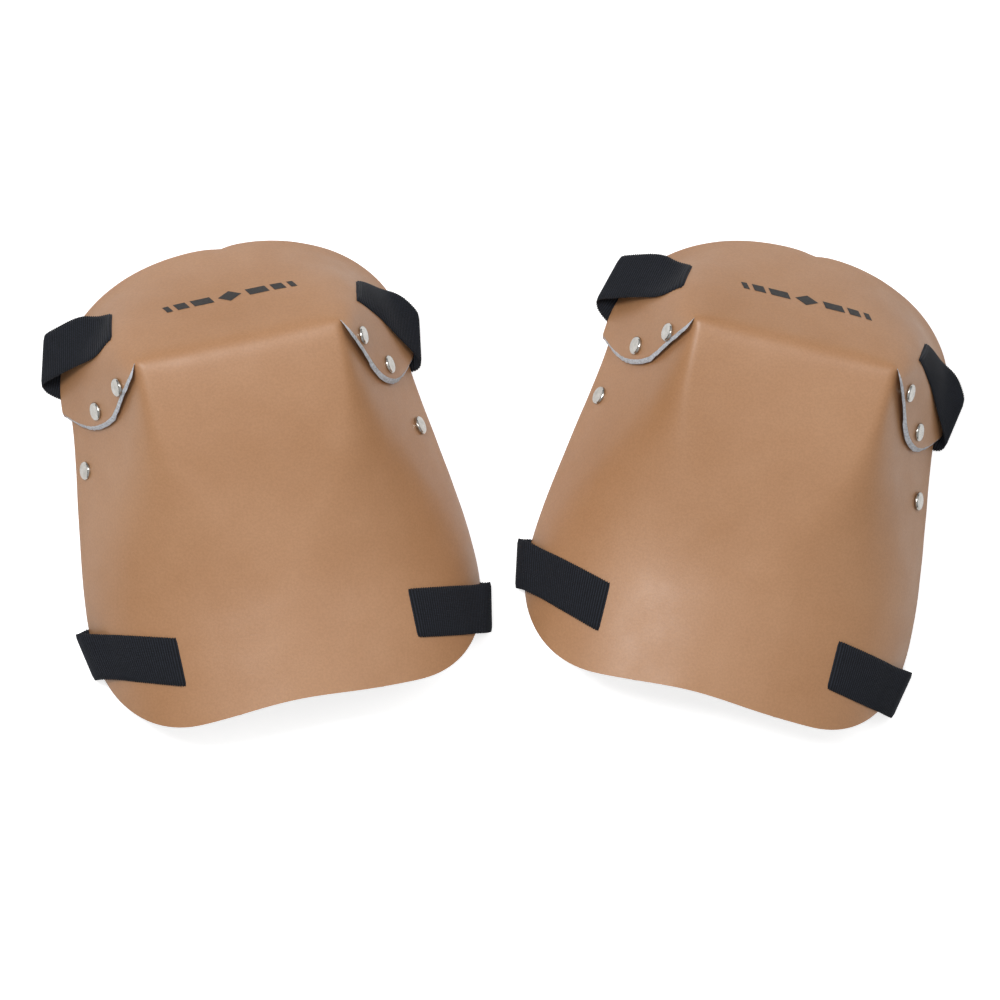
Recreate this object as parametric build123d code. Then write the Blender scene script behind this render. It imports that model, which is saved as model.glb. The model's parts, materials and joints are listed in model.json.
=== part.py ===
from build123d import *
from math import atan2, cos, pi, sin, sqrt
import os

# A pair of leather knee guards, lying open side down. One guard is built in its own
# frame and placed twice. In that frame X runs across the leg, Y runs from the foot end
# to the crown, and Z is up from the surface that the open side lies on. Millimetres.

# The leather shell: a front panel and two flanks, formed from one sheet.
LEATHER = 3.0
RIM_Z = 2.0
FOOT_Y = -111.0
CREASE_Y = 72.0
TAPER_LENGTH = 134.0
CREASE_HEIGHT, FOOT_HEIGHT = 74.0, 60.0
CREASE_SHOULDER, FOOT_SHOULDER = 52.0, 58.0
CREASE_RIM, FOOT_RIM = 84.0, 98.5
CREASE_SOFTNESS, FOOT_SOFTNESS = 10.0, 45.0
PANEL_ARCH = 1.5
CREASE_FLARE, FOOT_FLARE = 0.15, -0.6
FOOT_CORNERS = [(98.5, -60), (97, -79), (88, -97), (75, -107), (53, FOOT_Y)]

# The crown: the sheet's end, bent down at the crease, with an ear over each flank.
CROWN_CENTRE_Y = 50.0
CROWN_REACH = 49.5
CROWN_SQUARENESS = (2.3, 5.7)
EAR_STANDOFF = 3.95
WALL_INSET = 3.45
EAR_EDGE = [(60, 58), (68, 42), (76, 37), (84, 41), (91, 49)]
LEFT_EAR_LIFT = 8.0

# The felt pad inside the shell, and the gap that the straps cross in.
STRAP_GAP = 3.8
FELT = 9.0
FELT_FOOT_Y, FELT_CROWN_Y = -100.0, 60.0

# Rivets, by their places in plan.
RIVET_CAP_R = 4.65
RIVET_CAP_THICKNESS = 1.6
RIVET_POST_R = 1.5
RIVET_BACK_THICKNESS = 1.0
RIVET_HOLE_PLAY = 0.2
EAR_RIVETS = [(-62, 62), (-73.5, 52.5), (62, 62), (73.5, 45)]
SIDE_RIVETS = [(-83.5, 24.5), (83.5, 12)]
SIDE_RIVET_DEPTH = 7.6

# Webbing straps, and the slots that they pass through.
WEBBING_WIDTH = 25.0
WEBBING = 1.5
STRAP_CLEARANCE = 0.7
CROWN_INSIDE_GAP = 1.3
SLOT_LENGTH, SLOT_WIDTH = 28.0, 5.0
LEFT_CROWN_SLOT, LEFT_SLOT_LEAN = (-57.5, 92.5), -0.29
RIGHT_CROWN_SLOT, RIGHT_SLOT_LEAN = (65.3, 85.0), -0.42
LOWER_SLOT_X = 58.5
LOWER_STRAP_Y = -78.0
LEFT_FOLD = (-103.0, -66.5, 0.195)
RIGHT_FOLD = (100.3, -84.0, -0.19)
UPPER_BUCKLE_Y = 52.0

# The side-release buckle that closes each strap, along X with its mouth at X = 0.
BUCKLE_WIDTH = 34.0
SOCKET_LENGTH, SOCKET_HEIGHT = 30.0, 9.0
SOCKET_WALL = 1.6
SOCKET_SIDE_WALL = 3.0
BAR_LUG_LENGTH = 9.0
PLUG_HEIGHT = 7.5
PLUG_LENGTH = 22.0
PLUG_GAP = 0.3
RAIL_WIDTH = 3.6
BAR_BOTTOM, BAR_TOP = 2.2, 5.2
ARM_LENGTH = 24.0
ARM_Y = 9.5
ARM_WIDTH = 3.0
TONGUE_LENGTH, TONGUE_WIDTH = 20.0, 6.0
INSERT_BOTTOM, INSERT_TOP = 2.3, 6.7

# How the two guards lie beside each other: X, Y and the turn about Z in degrees.
LEFT_PLACE = (-121.7, 0.4, 12.0)
RIGHT_PLACE = (123.3, 0.4, -14.0)


def smoothstep(t):
    t = min(max(t, 0.0), 1.0)
    return t * t * (3 - 2 * t)


def along_shell(y, at_crease, at_foot):
    """A size that eases from its value at the crease to its value near the foot."""
    return at_crease + (at_foot - at_crease) * smoothstep((CREASE_Y - y) / TAPER_LENGTH)


def height(y):
    return along_shell(y, CREASE_HEIGHT, FOOT_HEIGHT)


def shoulder(y):
    return along_shell(y, CREASE_SHOULDER, FOOT_SHOULDER)


def rim_half_width(y):
    return along_shell(y, CREASE_RIM, FOOT_RIM)


def sideways(y, depth):
    """How far a flank moves in, seen along Y, when its face lies depth deeper."""
    slope = atan2(height(y) - RIM_Z, rim_half_width(y) - shoulder(y))
    return depth / sin(slope)


def flare(y):
    """How a flank's slope changes on its way down: above 0 it ends less steep, below 0
    steeper."""
    return along_shell(y, CREASE_FLARE, FOOT_FLARE)


def sheet_height(x, y, depth=0.0):
    """Height of the face that lies depth under the shell's outer face."""
    top = height(y)
    half = shoulder(y)
    panel = top - PANEL_ARCH * (x / half) ** 2 - depth
    out = (abs(x) + sideways(y, depth) - half) / (rim_half_width(y) - half)
    start = 1 - flare(y)
    root = start**2 + 4 * flare(y) * max(out, -0.5)
    fall = 2 * out / (start + sqrt(max(root, 0.0)))
    flank = top - (top - RIM_Z) * fall
    softness = along_shell(y, CREASE_SOFTNESS, FOOT_SOFTNESS)
    overlap = max(softness - abs(panel - flank), 0.0) / softness
    return min(panel, flank) - overlap * overlap * softness / 4


def flank_x(y, z):
    """Half width of a flank's outer face at height z."""
    fall = (height(y) - z) / (height(y) - RIM_Z)
    half = shoulder(y)
    return half + (rim_half_width(y) - half) * fall * (1 + flare(y) * (fall - 1))


def crown_size(z):
    """Half width, reach past the centre and squareness of the crown at height z."""
    level = min(z / CREASE_HEIGHT, 1.0)
    fall = 1 - level
    across = flank_x(CROWN_CENTRE_Y, z) + EAR_STANDOFF
    reach = CREASE_Y - CROWN_CENTRE_Y + CROWN_REACH * fall * (1.25 - 0.25 * fall)
    return across, reach, CROWN_SQUARENESS[0] + CROWN_SQUARENESS[1] * level**2


def crown_x(y, z):
    """Half width of the crown's outer face, ears included, at height z."""
    across, reach, power = crown_size(z)
    if y <= CROWN_CENTRE_Y:
        return flank_x(y, z) + EAR_STANDOFF
    along = min((y - CROWN_CENTRE_Y) / reach, 1.0)
    return across * (1 - along**power) ** (1 / power)


def crown_height(x, y):
    low, high = 0.0, CREASE_HEIGHT
    for _ in range(40):
        middle = (low + high) / 2
        if crown_x(y, middle) > abs(x):
            low = middle
        else:
            high = middle
    return low


def crown_point(x, y):
    """Point and outward normal on the crown's outer face."""
    z = crown_height(x, y)
    step = 0.05
    slope_y = (crown_x(y + step, z) - crown_x(y - step, z)) / (2 * step)
    slope_z = (crown_x(y, z + step) - crown_x(y, z - step)) / (2 * step)
    side = 1 if x > 0 else -1
    return Vector(x, y, z), Vector(side, -slope_y, -slope_z).normalized()


def shell_point(x, y, depth=0.0):
    """Point and outward normal on the shell's face at the given depth."""
    step = 0.05
    slope_x = (sheet_height(x + step, y) - sheet_height(x - step, y)) / (2 * step)
    slope_y = (sheet_height(x, y + step) - sheet_height(x, y - step)) / (2 * step)
    normal = Vector(-slope_x, -slope_y, 1).normalized()
    return Vector(x, y, sheet_height(x, y)) - normal * depth, normal


# ---- thin curved walls ----

def closed_section(outer, inner):
    """A wire round a thin wall, from its outer and inner face points."""
    return Wire([
        Edge.make_spline(outer),
        Edge.make_line(outer[-1], inner[-1]),
        Edge.make_spline(inner[::-1]),
        Edge.make_line(inner[0], outer[0]),
    ])


def arch_line(y, depth):
    """Points over the arch at one depth, from the left rim to the right rim."""
    half = shoulder(y)
    edge = rim_half_width(y) - sideways(y, depth)
    near = [half * part for part in (0.25, 0.5, 0.66, 0.78, 0.88, 0.97)]
    far = [half + (edge - half) * part for part in (0.1, 0.25, 0.45, 0.7, 1.0)]
    xs = near + far
    across = [-x for x in reversed(xs)] + [0.0] + xs
    return [Vector(x, y, sheet_height(x, y, depth)) for x in across]


def arch_wall(start_y, end_y, outer_depth, inner_depth):
    """The arched sheet between two depths, from the foot to the crown end."""
    count = 7
    sections = []
    for i in range(count):
        y = start_y + (end_y - start_y) * i / (count - 1)
        sections.append(closed_section(arch_line(y, outer_depth), arch_line(y, inner_depth)))
    return Solid.make_loft(sections)


def crown_line(z, inset):
    """Points round the crown at height z, from the right ear to the left ear."""
    across, reach, power = crown_size(z)
    points = []
    for y in (28.0, 36.0, 44.0):
        points.append(Vector(crown_x(y, z) - inset, y, z))
    count = 16
    for i in range(count + 1):
        angle = pi * i / count
        spread = (abs(cos(angle)) ** power + sin(angle) ** power) ** (-1 / power)
        x = (across - inset) * spread * cos(angle)
        y = CROWN_CENTRE_Y + (reach - inset) * spread * sin(angle)
        points.append(Vector(x, y, z))
    for y in (44.0, 36.0, 28.0):
        points.append(Vector(inset - crown_x(y, z), y, z))
    return points


def crown_wall():
    levels = [0.0, 14.0, 28.0, 42.0, 54.0, 64.0, CREASE_HEIGHT - PANEL_ARCH]
    return Solid.make_loft([
        closed_section(crown_line(z, 0.0), crown_line(z, WALL_INSET)) for z in levels
    ])


def plan_prism(edges):
    """A tall prism over an outline in plan."""
    return extrude(make_face(edges), amount=CREASE_HEIGHT + 20)


def shell_outline():
    """The sheet's outline from the foot to the crease, with its rounded corners."""
    right = [Vector(x, y) for x, y in FOOT_CORNERS]
    left = [Vector(-x, y) for x, y in reversed(FOOT_CORNERS)]
    side = FOOT_RIM + 20
    end = CREASE_Y + 0.6
    return plan_prism([
        Edge.make_line(Vector(side, end), Vector(-side, end)),
        Edge.make_line(Vector(-side, end), Vector(-side, left[-1].Y)),
        Edge.make_line(Vector(-side, left[-1].Y), left[-1]),
        Edge.make_spline(left[::-1], tangents=[(0, -1), (1, 0)]),
        Edge.make_line(left[0], right[-1]),
        Edge.make_spline(right[::-1], tangents=[(1, 0), (0, 1)]),
        Edge.make_line(right[0], Vector(side, right[0].Y)),
        Edge.make_line(Vector(side, right[0].Y), Vector(side, end)),
    ])


def crown_outline():
    """The crown in plan: everything past the crease and the curved edge of each ear."""
    corner = CREASE_SHOULDER
    side = FOOT_RIM + 30
    far = CREASE_Y + CROWN_REACH + 20
    right = [Vector(corner, CREASE_Y)] + [Vector(x, y) for x, y in EAR_EDGE]
    left = [Vector(-corner, CREASE_Y)]
    for i, (x, y) in enumerate(EAR_EDGE):
        left.append(Vector(-x, y + LEFT_EAR_LIFT * min(1.0, 0.5 * i + 0.25)))
    return plan_prism([
        Edge.make_spline(right),
        Edge.make_line(right[-1], Vector(side, right[-1].Y)),
        Edge.make_line(Vector(side, right[-1].Y), Vector(side, far)),
        Edge.make_line(Vector(side, far), Vector(-side, far)),
        Edge.make_line(Vector(-side, far), Vector(-side, left[-1].Y)),
        Edge.make_line(Vector(-side, left[-1].Y), left[-1]),
        Edge.make_spline(left[::-1]),
        Edge.make_line(left[0], Vector(-corner + 2, CREASE_Y - 10)),
        Edge.make_line(Vector(-corner + 2, CREASE_Y - 10), Vector(corner - 2, CREASE_Y - 10)),
        Edge.make_line(Vector(corner - 2, CREASE_Y - 10), right[0]),
    ])


def up_the_slope(normal):
    up = Vector(0, 0, 1)
    return (up - normal * up.dot(normal)).normalized()


def in_surface(normal, x, y):
    """The direction on a surface that reads as (x, y) in plan."""
    return Vector(x, y, -(normal.X * x + normal.Y * y) / normal.Z).normalized()


def slot_cutter(point, normal, length_direction):
    """A slot through the leather, its length along the given direction."""
    plane = Plane(origin=point, x_dir=length_direction, z_dir=normal)
    return plane * Box(SLOT_LENGTH, SLOT_WIDTH, 6 * LEATHER)


def crown_slots():
    cutters = []
    for slot, lean in ((LEFT_CROWN_SLOT, LEFT_SLOT_LEAN), (RIGHT_CROWN_SLOT, RIGHT_SLOT_LEAN)):
        point, normal = crown_point(*slot)
        cutters.append(slot_cutter(point, normal, in_surface(normal, lean, -1)))
    return cutters


def lower_slots():
    cutters = []
    for x in (-LOWER_SLOT_X, LOWER_SLOT_X):
        point, normal = shell_point(x, LOWER_STRAP_Y)
        cutters.append(slot_cutter(point, normal, Vector(0, 1, 0)))
    return cutters


# ---- rivets ----

def depth_under(point, normal, depth):
    """How far along the rivet its line leaves the face at the given depth."""
    travel = 0.0
    while travel < 40:
        spot = point - normal * travel
        if spot.Z < sheet_height(spot.X, spot.Y, depth):
            return travel
        travel += 0.05
    return travel


def rivet_places():
    """Each rivet as (point, normal, grip), ear rivets first."""
    ear = []
    for x, y in EAR_RIVETS:
        point, normal = crown_point(x, y)
        ear.append((point, normal, depth_under(point, normal, LEATHER) + 0.5))
    side = []
    for x, y in SIDE_RIVETS:
        point, normal = shell_point(x, y)
        side.append((point, normal, SIDE_RIVET_DEPTH))
    return ear, side


def rivet_cap(point, normal, grip):
    """A domed cap with its post, seated on the leather's outer face."""
    dome = Cylinder(RIVET_CAP_R, RIVET_CAP_THICKNESS)
    dome = fillet(dome.edges().group_by(Axis.Z)[-1], RIVET_CAP_THICKNESS * 0.6)
    dome = Pos(0, 0, 0.1 + RIVET_CAP_THICKNESS / 2) * dome
    post_length = grip + RIVET_BACK_THICKNESS + 0.5
    post = Pos(0, 0, 0.5 - post_length / 2) * Cylinder(RIVET_POST_R, post_length)
    return Plane(origin=point, z_dir=normal) * (dome + post)


def rivet_back(point, normal, grip):
    """The ring that the post is set into, inside the guard."""
    ring = Cylinder(RIVET_CAP_R, RIVET_BACK_THICKNESS)
    ring -= Cylinder(RIVET_POST_R + 0.03, 2 * RIVET_BACK_THICKNESS)
    drop = grip + RIVET_BACK_THICKNESS / 2
    return Plane(origin=point, z_dir=normal) * (Pos(0, 0, -drop) * ring)


def rivet_hole(point, normal, grip):
    hole = Cylinder(RIVET_POST_R + RIVET_HOLE_PLAY, 2 * grip + 6)
    return Plane(origin=point, z_dir=normal) * hole


def rivet_recess(point, normal, grip, depth):
    """Room in the felt round a rivet's back, open towards the leg."""
    clear = 0.4
    recess = Cylinder(RIVET_CAP_R + clear, depth)
    return Plane(origin=point, z_dir=normal) * (Pos(0, 0, clear - grip - depth / 2) * recess)


# ---- leather and felt ----

def leather_shell(ear, side):
    body = arch_wall(FOOT_Y - 4, CREASE_Y + 0.6, 0.0, LEATHER) & shell_outline()
    above_rim = Pos(0, 0, RIM_Z + 60) * Box(300, 400, 120)
    crown = crown_wall() & crown_outline() & above_rim
    shell = body + crown
    for cutter in crown_slots() + lower_slots():
        shell -= cutter
    for place in ear + side:
        shell -= rivet_hole(*place)
    return shell


def felt_pad(ear, side):
    top = LEATHER + STRAP_GAP
    pad = arch_wall(FELT_FOOT_Y, FELT_CROWN_Y, top, top + FELT)
    pad &= Pos(0, 0, 60 + RIM_Z + 0.5) * Box(300, 400, 120)
    corner = FOOT_RIM - 22
    for x in (-1, 1):
        trim = Pos(x * (corner + 20), FELT_FOOT_Y, 0) * Box(40, 36, 120)
        pad -= trim
    for place in ear:
        pad -= rivet_hole(*place)
        pad -= rivet_recess(*place, 40)
    for place in side:
        pad -= rivet_hole(*place)
        pad -= rivet_recess(*place, 40)
    return pad


# ---- webbing ----

def ribbon(stations):
    """Webbing through (centre, side) stations, where side points across its width."""
    sections = []
    last = len(stations) - 1
    for i, (centre, side) in enumerate(stations):
        before = (centre - stations[i - 1][0]).normalized() if i > 0 else None
        after = (stations[i + 1][0] - centre).normalized() if i < last else None
        tangent = (((before or after) + (after or before)) * 0.5).normalized()
        normal = side.cross(tangent).normalized()
        lean = max(tangent.dot(before or after), 0.66)
        across = side.normalized() * (WEBBING_WIDTH / 2)
        thick = normal * (WEBBING / 2 / lean)
        sections.append([
            centre + across + thick,
            centre - across + thick,
            centre - across - thick,
            centre + across - thick,
        ])
    faces = [Face(Wire.make_polygon(sections[0])), Face(Wire.make_polygon(sections[-1]))]
    for near, far in zip(sections, sections[1:]):
        for j in range(4):
            k = (j + 1) % 4
            start = Edge.make_line(near[j], near[k])
            end = Edge.make_line(far[j], far[k])
            faces.append(Face.make_surface_from_curves(start, end))
    return Solid(Shell(faces))


def lift(place, distance):
    point, normal = place
    return point + normal * distance


OUTSIDE = STRAP_CLEARANCE + WEBBING / 2
INSIDE = LEATHER + STRAP_GAP / 2
UNDER_Z = WEBBING / 2 + 0.03
FOOTWARD = Vector(0, -1, 0)


def lower_side(direction):
    """Half of the lower strap: out of the slot, over the flank and round the rim."""
    fold_x, fold_y, lean = RIGHT_FOLD if direction > 0 else LEFT_FOLD
    path = []
    for x in (15, 30, 42, 52, LOWER_SLOT_X):
        place = shell_point(direction * x, LOWER_STRAP_Y)
        path.append((lift(place, -INSIDE), FOOTWARD))
    for x in (LOWER_SLOT_X, 68, 78, 87, 94):
        part = (x - LOWER_SLOT_X) / (abs(fold_x) - LOWER_SLOT_X)
        place = shell_point(direction * x, LOWER_STRAP_Y + (fold_y - LOWER_STRAP_Y) * part)
        path.append((lift(place, OUTSIDE), in_surface(place[1], lean * part, -1)))
    across = Vector(lean, -1, 0).normalized()
    path.append((Vector(fold_x, fold_y, 6), across))
    path.append((Vector(fold_x, fold_y, 2.2), across))
    path.append((Vector(fold_x - 2 * direction, fold_y, UNDER_Z), across))
    return path


def crown_inside():
    """The upper strap inside the crown, level from one slot to the other."""
    left = crown_point(*LEFT_CROWN_SLOT)
    right = crown_point(*RIGHT_CROWN_SLOT)
    path = [(lift(left, -INSIDE), in_surface(left[1], LEFT_SLOT_LEAN, -1))]
    count = 9
    for i in range(1, count):
        part = i / count
        x = left[0].X + (right[0].X - left[0].X) * part
        z = left[0].Z + (right[0].Z - left[0].Z) * part
        across, reach, power = crown_size(z)
        y = CROWN_CENTRE_Y + reach * (1 - abs(x / across) ** power) ** (1 / power)
        place = crown_point(x, y)
        path.append((lift(place, -INSIDE - CROWN_INSIDE_GAP), up_the_slope(place[1])))
    path.append((lift(right, -INSIDE), in_surface(right[1], RIGHT_SLOT_LEAN, -1)))
    return path


def left_loop():
    """The upper strap outside the left slot: a loose loop that turns under the crown."""
    slot = crown_point(*LEFT_CROWN_SLOT)
    across = in_surface(slot[1], LEFT_SLOT_LEAN, -1)
    places = [
        (-66, 60.5, UNDER_Z, -0.42, 0), (-77.6, 69.3, UNDER_Z, -0.55, 0),
        (-91.5, 80.8, UNDER_Z, -0.36, 0), (-94.2, 82.8, 3.6, -0.27, 0),
        (-92.6, 83.6, 9.2, -0.25, 0), (-84, 86, 17.8, -0.23, 0.08),
        (-74.5, 88.8, 26, -0.21, 0.2),
    ]
    path = [(Vector(x, y, z), Vector(lean, -1, tilt).normalized()) for x, y, z, lean, tilt in places]
    path.append((Vector(-66, 90.9, 33.5), Vector(-0.25, -0.9, 0.42).normalized()))
    path.append((lift(slot, OUTSIDE + 1), across))
    return path


def right_wrap():
    """The upper strap outside the right slot: flat on the ear, then round its rim."""
    slot = crown_point(*RIGHT_CROWN_SLOT)
    path = [(lift(slot, OUTSIDE), in_surface(slot[1], RIGHT_SLOT_LEAN, -1))]
    for x, y in ((71.8, 80), (78, 74.4)):
        place = crown_point(x, y)
        path.append((lift(place, OUTSIDE + 0.8), in_surface(place[1], -0.16, -1)))
    places = [
        (86.3, 66.8, 13.0, 0.3), (90.6, 61.8, 8.5, 0.14), (93.6, 57.8, 4.6, 0),
        (93.0, 56.4, 2.0, 0), (90.3, 55.2, UNDER_Z, 0),
    ]
    for x, y, z, tilt in places:
        path.append((Vector(x, y, z), Vector(-0.16, -1, tilt).normalized()))
    return path


def buckle_hem(y):
    """The sewn end round the socket's bar, from its cut end to the long run."""
    bar = -SOCKET_LENGTH - BAR_LUG_LENGTH
    points = [
        (bar - 16, 2.8), (bar - 4.5, 2.8), (bar - 1.4, 6.2), (bar + 4.0, 6.2),
        (bar + 4.6, UNDER_Z + 0.2), (bar - 17, UNDER_Z),
    ]
    return [(Vector(x, y, z), FOOTWARD) for x, z in points]


def ladder_tail(y):
    """The adjusting end: up through the plug's ladder and back over its bars."""
    points = [
        (30, UNDER_Z), (12, UNDER_Z), (8.9, UNDER_Z + 0.1), (8.9, 6.3), (22, 6.3),
        (28, 2.5), (58, 2.5),
    ]
    return [(Vector(x, y, z), FOOTWARD) for x, z in points]


def straps():
    left = lower_side(-1)
    right = lower_side(1)
    split = (Vector(76, LOWER_STRAP_Y, UNDER_Z), FOOTWARD)
    middle = (lift(shell_point(0, LOWER_STRAP_Y), -INSIDE - 0.2), FOOTWARD)
    lower = buckle_hem(LOWER_STRAP_Y) + left[::-1] + [middle] + right + [split]
    upper_split = (Vector(74, 54, UNDER_Z), FOOTWARD)
    upper = buckle_hem(UPPER_BUCKLE_Y)
    upper += left_loop() + crown_inside() + right_wrap() + [upper_split]
    return {
        "lower_strap": ribbon(lower),
        "lower_strap_tail": ribbon([split] + ladder_tail(LOWER_STRAP_Y)),
        "upper_strap": ribbon(upper),
        "upper_strap_tail": ribbon([upper_split] + ladder_tail(UPPER_BUCKLE_Y)),
    }


# ---- side-release buckle ----

def buckle_socket():
    """The hollow half, with a window each side for the arms and a bar for the strap."""
    length, width = SOCKET_LENGTH, BUCKLE_WIDTH
    body = Pos(-length / 2, 0, SOCKET_HEIGHT / 2) * Box(length, width, SOCKET_HEIGHT)
    upright = body.edges().filter_by(Axis.Z).group_by(Axis.X)[0]
    body = fillet(upright, 4)
    depth = length - 3
    inner_width = width - 2 * SOCKET_SIDE_WALL
    cavity = Box(depth + 1, inner_width, SOCKET_HEIGHT - 2 * SOCKET_WALL)
    body -= Pos(0.5 - depth / 2, 0, SOCKET_HEIGHT / 2) * cavity
    window = Box(12.6, width + 2, SOCKET_HEIGHT - 2 * SOCKET_WALL)
    body -= Pos(-16.5, 0, SOCKET_HEIGHT / 2) * window
    lug = Box(BAR_LUG_LENGTH + 2, 3.2, 6)
    for side in (-1, 1):
        body += Pos(1 - length - BAR_LUG_LENGTH / 2, side * (width / 2 - 2.6), 4) * lug
    bar = Box(2.4, width - 4, BAR_TOP - BAR_BOTTOM)
    body += Pos(-length - BAR_LUG_LENGTH + 1.4, 0, (BAR_BOTTOM + BAR_TOP) / 2) * bar
    return body


def buckle_plug():
    """The frame that goes into the socket, with its guide tongue and ladder bars."""
    width = BUCKLE_WIDTH
    middle = (INSERT_BOTTOM + INSERT_TOP) / 2
    thick = INSERT_TOP - INSERT_BOTTOM
    base = Pos(PLUG_GAP + 2.5, 0, PLUG_HEIGHT / 2) * Box(5, width, PLUG_HEIGHT)
    plug = base
    rail = Box(PLUG_LENGTH, RAIL_WIDTH, PLUG_HEIGHT)
    for side in (-1, 1):
        offset = side * (width - RAIL_WIDTH) / 2
        plug += Pos(PLUG_GAP + PLUG_LENGTH / 2, offset, PLUG_HEIGHT / 2) * rail
    bar = Box(3.2, width - 2, BAR_TOP - BAR_BOTTOM)
    for x in (12.6, PLUG_GAP + PLUG_LENGTH - 1.8):
        plug += Pos(x, 0, (BAR_BOTTOM + BAR_TOP) / 2) * bar
    tongue = Box(TONGUE_LENGTH + 1, TONGUE_WIDTH, thick)
    plug += Pos(PLUG_GAP + 1 - (TONGUE_LENGTH + 1) / 2, 0, middle) * tongue
    return plug


def plug_arm(side):
    """A springy arm with the pad that clicks into the socket's window."""
    thick = INSERT_TOP - INSERT_BOTTOM
    middle = (INSERT_BOTTOM + INSERT_TOP) / 2
    inner, outer = ARM_Y - ARM_WIDTH / 2, ARM_Y + ARM_WIDTH / 2
    pad = BUCKLE_WIDTH / 2 - 0.4
    outline = Polyline(
        (0, inner), (0, outer), (-9, outer), (-10.8, outer + 1.5), (-10.8, pad - 1.5),
        (-13, pad), (-19, pad), (-ARM_LENGTH, outer), (-ARM_LENGTH, inner + 0.5),
        (-ARM_LENGTH + 2, inner), close=True,
    )
    arm = Pos(0, 0, middle - thick / 2) * extrude(make_face(outline), amount=thick)
    return arm if side > 0 else mirror(arm, about=Plane.XZ)


# ---- the pair ----

def guard_nodes():
    """Every piece of one guard, in the guard's own frame."""
    ear, side = rivet_places()
    nodes = {
        "leather_shell": leather_shell(ear, side),
        "felt_pad": felt_pad(ear, side),
        "ear_rivet_caps": Compound([rivet_cap(*place) for place in ear]),
        "ear_rivet_backs": Compound([rivet_back(*place) for place in ear]),
        "side_rivet_caps": Compound([rivet_cap(*place) for place in side]),
        "side_rivet_backs": Compound([rivet_back(*place) for place in side]),
    }
    nodes.update(straps())
    for name, y in (("upper", UPPER_BUCKLE_Y), ("lower", LOWER_STRAP_Y)):
        nodes[name + "_buckle_socket"] = Pos(0, y, 0) * buckle_socket()
        nodes[name + "_buckle_plug"] = Pos(0, y, 0) * buckle_plug()
        nodes[name + "_plug_arm_a"] = Pos(0, y, 0) * plug_arm(1)
        nodes[name + "_plug_arm_b"] = Pos(0, y, 0) * plug_arm(-1)
    return nodes


os.makedirs("parts", exist_ok=True)
guard = guard_nodes()
for prefix, (x, y, turn) in (("left", LEFT_PLACE), ("right", RIGHT_PLACE)):
    place = Pos(x, y, 0) * Rot(0, 0, turn)
    for name, shape in guard.items():
        export_step(place * shape, "parts/" + prefix + "_" + name + ".step")
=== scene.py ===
import json
from collections import namedtuple
from math import atan2, cos, exp, hypot, pi, radians, sin, sqrt

import bmesh
import bpy
from mathutils import Matrix, Vector, noise


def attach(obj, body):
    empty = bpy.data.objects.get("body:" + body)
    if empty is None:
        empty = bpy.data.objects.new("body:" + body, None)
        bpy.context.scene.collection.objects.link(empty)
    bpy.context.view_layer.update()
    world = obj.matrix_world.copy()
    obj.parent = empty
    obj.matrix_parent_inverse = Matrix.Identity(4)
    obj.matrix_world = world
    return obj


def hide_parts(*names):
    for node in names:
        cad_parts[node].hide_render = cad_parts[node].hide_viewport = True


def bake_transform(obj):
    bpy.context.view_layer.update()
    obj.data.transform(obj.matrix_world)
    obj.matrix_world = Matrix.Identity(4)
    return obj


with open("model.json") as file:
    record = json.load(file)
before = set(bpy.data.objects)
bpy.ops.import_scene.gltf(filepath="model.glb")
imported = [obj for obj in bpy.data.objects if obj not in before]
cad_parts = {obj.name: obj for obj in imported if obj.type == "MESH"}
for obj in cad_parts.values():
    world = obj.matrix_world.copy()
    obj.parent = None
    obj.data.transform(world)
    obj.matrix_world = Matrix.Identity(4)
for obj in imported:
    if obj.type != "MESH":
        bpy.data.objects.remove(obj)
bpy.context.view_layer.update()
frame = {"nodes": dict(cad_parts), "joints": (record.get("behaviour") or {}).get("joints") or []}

# Two leather knee guards lying open side down. The shapes below are worked out in one
# guard's own frame, in millimetres: X across the leg, Y from the foot end to the crown,
# Z up. Each guard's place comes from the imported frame.
MM = 0.001

# Leather shell, as in the frame.
LEATHER = 3.0
RIM_Z = 2.0
FOOT_Y = -111.0
CREASE_Y = 72.0
TAPER_LENGTH = 134.0
CREASE_HEIGHT, FOOT_HEIGHT = 74.0, 60.0
CREASE_SHOULDER, FOOT_SHOULDER = 52.0, 58.0
CREASE_RIM, FOOT_RIM = 84.0, 98.5
CREASE_SOFTNESS, FOOT_SOFTNESS = 10.0, 45.0
PANEL_ARCH = 1.5
CREASE_FLARE, FOOT_FLARE = 0.15, -0.6
CROWN_CENTRE_Y = 50.0
CROWN_REACH = 49.5
CROWN_SQUARENESS = (2.3, 5.7)
EAR_STANDOFF = 3.95
LEFT_EAR_LIFT = 8.0

# Leather shell, shaped more finely than in the frame: the foot's rounded corners and
# shallow hollow, and the ear's cut edge, which here starts at the corner of the crease.
CORNER_START_Y = -60.0
FOOT_FLAT_X = 53.0
CORNER_POWER = 2.3
FOOT_BOW, FOOT_BOW_X, FOOT_BOW_WIDTH = 3.3, -8.0, 34.0
EAR_EDGE = [(52, 72), (60, 58), (68, 42), (76, 37), (84, 41), (91, 49)]
LEG_RADIUS = 60.0

# Felt, webbing, the middles of the slots, and buckles, as in the frame.
STRAP_GAP = 3.8
FELT = 9.0
FELT_FOOT_Y, FELT_CROWN_Y = -100.0, 60.0
SIDE_RIVETS = [(-83.5, 24.5), (83.5, 12)]
WEBBING_WIDTH, WEBBING = 25.0, 1.5
LEFT_CROWN_SLOT, LEFT_SLOT_LEAN = (-57.5, 92.5), -0.29
RIGHT_CROWN_SLOT, RIGHT_SLOT_LEAN = (65.3, 85.0), -0.42
LOWER_SLOT_X = 58.5
LOWER_STRAP_Y = -78.0
LEFT_FOLD = (-103.0, -66.5, 0.195)
RIGHT_FOLD = (100.3, -84.0, -0.19)
UPPER_BUCKLE_Y = 52.0
ARM_Y = 9.5

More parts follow.
